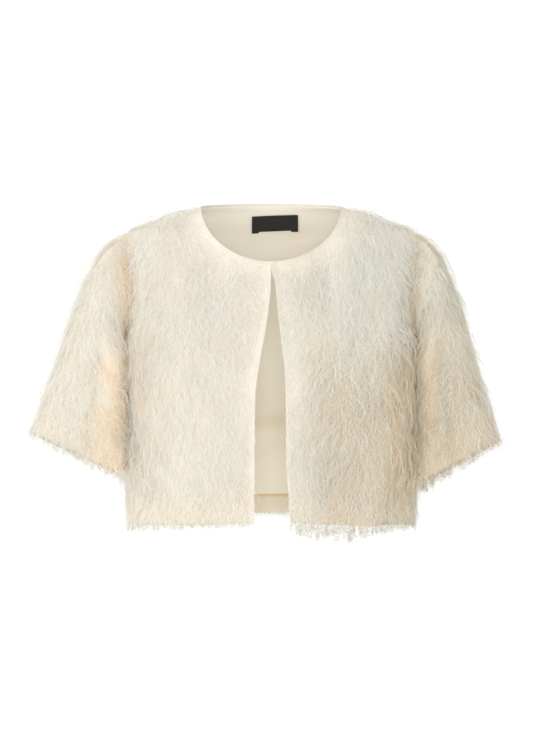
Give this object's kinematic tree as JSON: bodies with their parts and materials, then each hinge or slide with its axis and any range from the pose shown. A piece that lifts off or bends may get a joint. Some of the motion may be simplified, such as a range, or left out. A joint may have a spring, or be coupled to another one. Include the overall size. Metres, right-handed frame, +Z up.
{
  "type": "short-sleeved cropped jacket",
  "caption": "Cropped round-neck jacket in fringed thread-pile cloth, worn open over a hook and eye, with short set-in sleeves and a satin back lining.",
  "frame": {"origin": "the nape: the middle of the back neck edge", "axes": "+Z up, -Y the front, +X the wearer's left"},
  "size_m": [0.6046, 0.2207, 0.4216],
  "materials": {
    "pile_cloth": "cream thread pile over a warm woven ground",
    "lining": "soft satin with a low sheen",
    "facing": "plain woven ground cloth, turned up",
    "fringe": "loose crimped threads",
    "label": "close black ribbon weave",
    "fastening": "bent wire, pale plating"
  },
  "bodies": {
    "root": {"front_left": "pile_cloth", "front_right": "pile_cloth", "back": "pile_cloth", "sleeve_left": "pile_cloth", "sleeve_right": "pile_cloth", "lining_back": "lining", "hem_facing_back": "facing", "hem_fringe_left": "fringe", "hem_fringe_right": "fringe", "hem_fringe_back": "fringe", "cuff_fringe_left": "fringe", "cuff_fringe_right": "fringe", "label": "label", "eye": "fastening", "hook": "fastening"}
  },
  "joints": []
}
